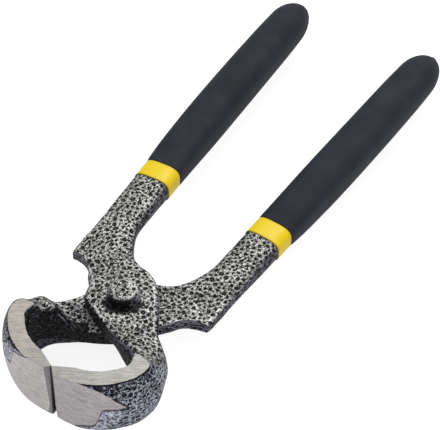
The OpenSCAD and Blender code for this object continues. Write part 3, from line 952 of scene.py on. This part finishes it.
def dress(mesh, s, pits, corners, sharp):
    """Stores what the paint looks up, one number per vertex.

    pit and ridge are the two distances to pits' rims, sheen_side is the hook's outside, where a blue reflection
    is painted, wall the other upright faces, which are painted darker as painted shade, shade the painted shade
    and shadow, negative where a reflection is painted, and bare the steel tongue. edge, for wear and a painted
    highlight, is 1 on sharp vertices and near corners, which are given as (x, y, z, how square), and
    ridge_highlight on the ridge.
    """
    co = np.zeros((len(mesh.vertices), 3), np.float32)
    mesh.vertices.foreach_get("co", co.ravel())
    normal = np.zeros_like(co)
    mesh.vertices.foreach_get("normal", normal.ravel())
    own, place = (co * 1000 - [0, pivot_y, half_h]) * [s, 1, s], co.astype(float) * 1000
    level = np.abs(normal[:, 2])
    outside, hump, throat = hook_masks(own, level)
    step, valley, on_ridge = step_masks(own)
    # Painted shade and shadow: the throat, the step's foot, the valley and the side of the rivet's head
    shade = np.max([throat, step, valley_dark * valley, head_mask(own, level)], axis=0)
    numbers, distances = nearest(place, corners[:, :3], 1)
    edge = corners[numbers[:, 0], 3] * ramp(distances[:, 0], *corner_wear_and_highlight)
    edge[sharp] = 1
    from_hook = distance(own, hook_x, -hook_y)
    pit, ridge = pit_distances(place, pits)
    found = {
        "pit": pit, "ridge": ridge, "sheen_side": outside,
        "wall": (1 - ramp(level, *upright_span)) * (1 - outside) * (1 - hump) * (1 - 0.5 * on_ridge),
        "edge": np.maximum(edge, ridge_highlight * on_ridge),
        "shade": np.where(throat < 0, throat, shade),
        "bare": tongue(own) * ramp(from_hook, *skin_span) - far * ramp(from_hook, *skin_span[::-1]),
    }
    for name, values in found.items():
        store(mesh, name, values)


print("each painted mesh stores", looked_up + ("bare",))

# %% [markdown]
# ## Levers
# A lever could be dressed by moving the solid's own vertices, but it has far too few of them for pits. So the
# forged skin is drawn again on a fine grid and pitted. Then the hidden tang is joined on, the tools cut, and
# last the hollow neck in front of the shoulder is milled with a cylinder that has pits of its own, because the
# paint covers it too. Pits are left off the steel tongue, which is ground smooth.

# %% Levers
skin_grid, quick_skin, neck_grid, quick_neck = (440, 210), (200, 100), (120, 360), (40, 120)
darts, tang_columns, neck_every = 20000, 48, 9
neck_x, neck_y = -waist_x - neck_r, -shoulder_y * 0.12


def superellipse(columns, w, t, power):
    """x = w/2 |cos a|^(2/p) sgn cos a, y = t/2 |sin a|^(2/p) sgn sin a, for columns angles a."""
    a = 2 * np.pi * (np.arange(columns) + 0.5) / columns
    x, y = [np.sign(v) * np.abs(v) ** (2 / power) for v in (np.cos(a), np.sin(a))]
    return np.stack([w / 2 * x, t / 2 * y], -1)


def neck_wall(dents=0.0):
    """Cylinder (neck_x + r cos a, neck_y + r sin a, z) with r = neck_r + dents, in the lever's frame."""
    rows, columns = neck_grid
    a = 2 * np.pi * np.arange(columns) / columns
    z = np.linspace(-half_h - 2, half_h + 2, rows)[:, None] + 0 * a
    r = neck_r + dents + 0 * z
    return np.stack([neck_x + r * np.cos(a), neck_y + r * np.sin(a), z], -1)


def tang_bar():
    """The tang: one superellipse at both ends of a straight bar, in the handle's frame."""
    section = superellipse(tang_columns, tang_w, tang_t, tang_power)
    return np.stack([np.c_[section, np.full(tang_columns, z)] for z in (-arm_w / 2, tang_len)])


def lever(name, node, body, turned):
    """Pits the forging, joins the tang, makes the cuts and stores the attributes."""
    rows, columns = skin_grid
    (points, corner), wall = forging(turned, rows, columns), neck_wall()
    corners = np.c_[placed(points, turned).reshape(-1, 3) * 1000, corner.ravel()]
    pits = scatter(np.concatenate([points.reshape(-1, 3), wall.reshape(-1, 3)[::neck_every]]), darts, int(turned))
    painted = ramp(tongue(points), 0.3, -0.3)
    points = points - grid_normals(points) * (dent(points, pits) * painted)[..., None]
    wall = neck_wall(dent(wall, pits))
    piece = closed_grid(name, placed(points, turned), [paint])
    cut(piece, closed_grid("tang", placed(on_handle(tang_bar()), turned), [paint]), "UNION")
    for points, faces, used in tools(front_steels[int(turned)], turned):
        cut(piece, solid("tool", placed(points, turned), faces, used), "DIFFERENCE")
    cut(piece, closed_grid("neck", placed(wall, turned), [paint]), "DIFFERENCE")
    sharp = crease(piece.data, lever_crease)
    rims = np.c_[placed(pits[:, :3], turned) * 1000, pits[:, 3]]
    dress(piece.data, -1 if turned else 1, rims, corners, sharp)
    piece.name = name
    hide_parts(node)
    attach(piece, body)
    return piece


levers = [lever("upper_lever", "top_lever", "top_half", False),
          lever("lower_lever", "bottom_lever", "bottom_half", True)]
for piece in levers:
    print(piece.name, len(piece.data.polygons), "faces", [m.name for m in piece.data.materials])

# %% [markdown]
# ## Rivet
# The rivet is a turned pin whose ends were hammered into domed heads with a small flat, so it is a profile spun
# round the pivot, the lower half being the upper one mirrored. The spin modifier would do, but the heads aren't
# truly round: their radius swings by two percent, where the hammer fell. It is painted with the levers, with a
# painted highlight on one side of each rim and painted shade on the side of the head away from the key light.

# %% Rivet
rivet_columns, uneven, dome_share, highlight_side, rivet_darts = 180, 0.02, 0.65, 35, 260


def rivet_profile(foot, top):
    """(r, z) of the upper half: shank, seat, wall, a crown of a quarter ellipse, and the flat."""
    dome = head_h * dome_share
    a = np.radians(np.linspace(0, 90, 26))
    crown = np.c_[head_flat_r + (head_r - head_flat_r) * np.cos(a), top - dome * (1 - np.sin(a))]
    flat = np.c_[np.linspace(head_flat_r, 0.05, 14)[1:], np.full(13, top)]
    wall = np.c_[np.full(8, head_r), np.linspace(foot, crown[0, 1], 9)[:-1]]
    shank = np.c_[np.full(4, rivet_r), np.linspace(0.5, foot, 4)]
    seat = np.c_[np.linspace(rivet_r, head_r, 6)[1:-1], np.full(4, foot)]
    return np.concatenate([shank, seat, wall, crown, flat])


def rivet():
    """(r(s) cos a, r(s) sin a, z(s)) over the profile s, with r uneven over 3 a on the heads, and its pits."""
    foot, top = lap_t + fit_gap, lap_t + fit_gap + head_h
    half = rivet_profile(foot, top)
    profile = np.concatenate([half[::-1] * [1, -1], half])
    a = 2 * np.pi * np.arange(rivet_columns) / rivet_columns
    r, z = profile[:, :1], profile[:, 1:]
    dented = 1 - uneven * np.cos(3 * a + 0.6) * (np.abs(z) > foot + 0.8)
    points = np.stack([r * dented * np.cos(a), r * dented * np.sin(a), z + 0 * a], -1)
    pits = scatter(points[np.abs(points[..., 2]) > foot + 0.6], rivet_darts, 5)
    on_head = np.abs(points[..., 2:]) > foot + 0.3
    return placed(points - grid_normals(points) * on_head * dent(points, pits)[..., None], False), pits


points, pits = rivet()
pin = closed_grid("rivet_dressed", points, [paint])
crease(pin.data, round_crease)
# A painted highlight brightens one side of each rim, towards highlight_side
highlit_rim = points.reshape(-1, 3) * 1000
hit = np.radians(highlight_side)
highlit_rim = np.c_[highlit_rim, ramp(highlit_rim[:, 0] * np.cos(hit) + (highlit_rim[:, 1] - pivot_y) * np.sin(hit), 0.5, 3)]
dress(pin.data, 1, np.c_[placed(pits[:, :3], False) * 1000, pits[:, 3]], highlit_rim, [])
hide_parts("rivet")
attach(pin, "bottom_half")
print("rivet", len(pin.data.polygons), "faces")

# %% [markdown]
# ## Collars
# A collar is a short moulded ring, pushed over the tang up to the arm, whose section it continues a little proud.
# Its rims are eased by a quarter circle, as a mould leaves them. A bevel modifier would ease the edges of the
# hole as well, so the ease is part of the profile. It is a tube: rings run forward outside, back inside and
# round to the start, so it is closed without any caps.

# %% Collars
collar_columns, rim_share, rim_rows, wall_rows, seam_span = 96, 1.3, 7, 9, (0.5, 0.1)
pocket = (tang_w + 2 * fit_gap, tang_t + 2 * fit_gap, tang_power)


def collar_rings():
    """Rings (along, width, thickness, power), outside forward and then inside back. A rim runs over angles b of a
    quarter circle: it is rim (1 - sin b) from the end face and rim (1 - cos b) inside the wall."""
    start, end = fit_gap, fit_gap + collar_len
    w, t, rim = arm_w + 2 * collar_proud, arm_t + 2 * collar_proud, collar_proud * rim_share

    def eased(along, b):
        inset = 2 * rim * (1 - np.cos(b))
        return along, w - inset, t - inset, arm_power

    quarter = np.radians(np.linspace(0, 90, rim_rows))
    outer = [eased(start + rim * (1 - np.sin(b)), b) for b in quarter[::-1]]
    outer += [(s, w, t, arm_power) for s in np.linspace(start + rim, end - rim, wall_rows)[1:-1]]
    outer += [eased(end - rim * (1 - np.sin(b)), b) for b in quarter]
    return outer + [(end, *pocket), (start, *pocket)]


def collar(name, node, body, turned):
    """A closed tube over the collar's rings, with its seam marked within half a millimetre of both ends."""
    rings = collar_rings()
    points = [np.c_[superellipse(collar_columns, w, t, p), np.full(collar_columns, s)] for s, w, t, p in rings]
    piece = closed_grid(name, placed(on_handle(np.stack(points)), turned), [collar_vinyl], ring=True)
    along = np.array([ring[0] for ring in rings])
    seam = ramp(np.minimum(along - fit_gap, fit_gap + collar_len - along), *seam_span)
    store(piece.data, "seam", np.repeat(seam, collar_columns))
    crease(piece.data, round_crease)
    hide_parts(node)
    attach(piece, body)
    return piece


collars = [collar("upper_collar", "left_collar", "top_half", False),
           collar("lower_collar", "right_collar", "bottom_half", True)]
print("collars", [len(c.data.polygons) for c in collars])

# %% [markdown]
# ## Grips
# A grip is a long sleeve, flat where it leaves the collar and nearly round at its end, with a slight bow and a
# small nib left by the mould. A bevelled curve would have one section all along, so a table gives the section at
# nine places, as shares of its largest size. The rows between are interpolated and smoothed, so that no place of
# the table shows as a kink.

# %% Grips
grip_columns, body_rows, end_rows, smoothing, bow_end = 128, 150, 31, 15, 0.036
grip_start = fit_gap * 2 + collar_len
grip_len = grip_end - nib_h - grip_start
# Shares: place along the grip, width, thickness, squareness and sideways shift
grip_table = np.array([
    [0, 0.875, 0.66, 1.42, 0], [0.012, 0.9, 0.69, 1.42, -0.004], [0.07, 0.915, 0.79, 1.43, -0.02],
    [0.17, 0.935, 0.89, 1.4, -0.022], [0.25, 0.965, 0.95, 1.32, -0.022], [0.4, 0.99, 0.99, 1.22, -0.018],
    [0.6, 1, 1, 1.16, -0.004], [0.78, 0.995, 1, 1.1, 0.016], [0.88, 0.965, 0.98, 1.05, 0.028]])
# Shares of the nib: how far up a ring lies, and its radius
nib_table = np.array([[0.04, 1.0], [0.4, 1.0], [0.65, 0.99], [0.8, 0.94], [0.9, 0.86], [0.97, 0.72], [1.0, 0.5]])


def grip_rows():
    """Rows (place, w, t, squareness, shift): the smoothed table, w cos a and t cos a at the end, and the nib."""
    s = np.r_[0, 0.002, np.linspace(0.012, 0.88, body_rows)]
    body = np.stack([np.interp(s, grip_table[:, 0], grip_table[:, k]) for k in range(5)], -1)
    kept = smoothing // 2 + 1
    for k in range(1, 5):
        mean = np.convolve(body[:, k], np.ones(smoothing) / smoothing, "same")
        body[kept:-kept, k] = mean[kept:-kept]
    last, end_power = body[-1], round_power / grip_power
    stop = np.arccos(2 * nib_r / (last[1] * grip_w))
    a = np.linspace(0, stop, end_rows)[1:]
    done = a / stop
    end = np.stack([last[0] + (1 - last[0]) * np.sin(a) / np.sin(stop), last[1] * np.cos(a), last[2] * np.cos(a),
                    last[3] + (end_power - last[3]) * done, last[4] + (bow_end - last[4]) * done], -1)
    up, r = nib_table[:, 0], nib_r * nib_table[:, 1]
    nib = [1 + up * nib_h / grip_len, 2 * r / grip_w, 2 * r / grip_t, 0 * r + end_power, 0 * r + bow_end]
    return np.concatenate([body, end, np.stack(nib, -1)])


def grip(name, node, body, turned):
    """The pocket of the tang, then the outer skin's rings."""
    rings = [np.c_[superellipse(grip_columns, *pocket), np.full(grip_columns, along)]
             for along in (tang_len + fit_gap, grip_start)]
    for s, w, t, squareness, shift in grip_rows():
        ring = superellipse(grip_columns, w * grip_w, t * grip_t, squareness * grip_power) + [shift * grip_w, 0]
        rings.append(np.c_[ring, np.full(grip_columns, grip_start + s * grip_len)])
    piece = closed_grid(name, placed(on_handle(np.stack(rings)), turned), [grip_vinyl])
    crease(piece.data, round_crease)
    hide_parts(node)
    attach(piece, body)
    return piece


grips = [grip("upper_grip", "left_grip", "top_half", False),
         grip("lower_grip", "right_grip", "bottom_half", True)]
print("grips", [len(g.data.polygons) for g in grips])

# %% [markdown]
# ## Studio
# A product photograph is taken on white paper under large soft lamps. White paper would also throw much light up
# at the tool, so here it lights the object as mid grey and shows near white only to the camera and in
# reflections. Three lamps do the rest: a key from behind, a weak fill from the front and one from the side, each
# as large as its distance asks for to keep the shadows soft.

# %% Floor and light
floor_half, floor_z, floor_grey, floor_white = 6.0, -0.0004, 0.45, 0.85
# Name, place, target, diameter, power, colour
lamps = [("key", (-0.12, 0.6, 0.9), (0, 0, 0), 0.4, 7.0, (1.0, 0.985, 0.96)),
         ("fill", (-0.35, -0.9, 0.3), (0, -0.05, 0), 0.6, 2.2, (1.0, 0.97, 0.95)),
         ("side", (0.8, -0.5, 0.3), (0, 0, 0), 0.6, 3.0, (1.0, 0.99, 1.0))]
sky_colour, sky_strength = (0.95, 0.97, 1.0, 1), 0.44


def floor():
    """Paper that lights the object as mid grey, and shows near white to the camera and in reflections."""
    corners = [(x, y, floor_z) for x, y in rectangle(-floor_half, -floor_half, floor_half, floor_half)]
    mesh = bpy.data.meshes.new("floor")
    mesh.from_pydata(corners, [], [[0, 1, 2, 3]])
    made, shader, coords = material("floor_paper", Roughness=1.0, Specular_IOR_Level=0.0, Emission_Strength=1.0,
                                    Base_Color=(floor_grey, floor_grey, floor_grey, 1))
    ray = coords.node("ShaderNodeLightPath", output="Is Camera Ray")
    seen = (ray + ray.also("Is Glossy Ray") + ray.also("Is Transmission Ray")).math("MINIMUM", 1.0)
    drive(shader, Emission_Color=seen.blend((0.0, 0.0, 0.0, 1), (floor_white, floor_white, floor_white, 1)))
    return link("floor", mesh, [made])


def area_light(name, place, target, size, power, colour):
    """A round lamp at a place, turned so that its -Z points at the target."""
    data = bpy.data.lights.new(name, "AREA")
    data.shape, data.size, data.energy, data.color = "DISK", size, power, colour
    lamp = bpy.data.objects.new(name, data)
    bpy.context.scene.collection.objects.link(lamp)
    lamp.location = place
    lamp.rotation_mode = "QUATERNION"
    lamp.rotation_quaternion = (Vector(target) - Vector(place)).to_track_quat("-Z", "Y")
    return lamp


floor()
for lamp in lamps:
    area_light(*lamp)
world = bpy.data.worlds.new("studio")
bpy.context.scene.world = world
world.use_nodes = True
background = world.node_tree.nodes["Background"].inputs
background["Color"].default_value, background["Strength"].default_value = sky_colour, sky_strength
scene = bpy.context.scene
scene.view_settings.view_transform = "Standard"
print("lamps:", [lamp[0] for lamp in lamps])

# %% [markdown]
# ## Camera
# The camera stands where the photographer's did. It is a pinhole that was fitted to points read from the
# photograph: its direction as azimuth, elevation and roll, its focal length in pixels, and how far off and at
# which pixel it sees the pivot. From these the eye's place follows by going back along the view from the pivot.

# %% Camera
view_degrees, focal, pivot_depth = (30.85, 45.97, 1.34), 1381.9, 428.9
pivot_pixel, frame_size, sensor_mm = np.array([124.2, 308.7]), np.array([440, 430]), 36.0


def camera():
    """Pinhole with axes right, up and back, whose eye is the pivot less the seen point in those axes."""
    a, e, roll = np.radians(view_degrees)
    back = np.array([np.sin(a) * np.cos(e), -np.cos(a) * np.cos(e), np.sin(e)])
    right = np.array([np.cos(a), np.sin(a), 0])
    up = np.cross(back, right)
    axes = np.stack([np.cos(roll) * right + np.sin(roll) * up, np.cos(roll) * up - np.sin(roll) * right, back])
    offset = (pivot_pixel - frame_size / 2) * [1, -1] * pivot_depth / focal
    eye = (np.array([0, pivot_y, half_h]) - axes.T @ np.array([*offset, -pivot_depth])) / 1000
    data = bpy.data.cameras.new("camera")
    data.sensor_width = sensor_mm
    data.lens = focal * sensor_mm / frame_size[0]
    made = bpy.data.objects.new("camera", data)
    bpy.context.scene.collection.objects.link(made)
    made.matrix_world = Matrix.Translation(eye) @ Matrix(axes.T.tolist()).to_4x4()
    return made


scene.camera = camera()
print("camera at", [round(c, 3) for c in scene.camera.location])

# %% [markdown] ## Finish The dressed model must not outgrow the solids.

# %% Finish
bpy.context.view_layer.update()
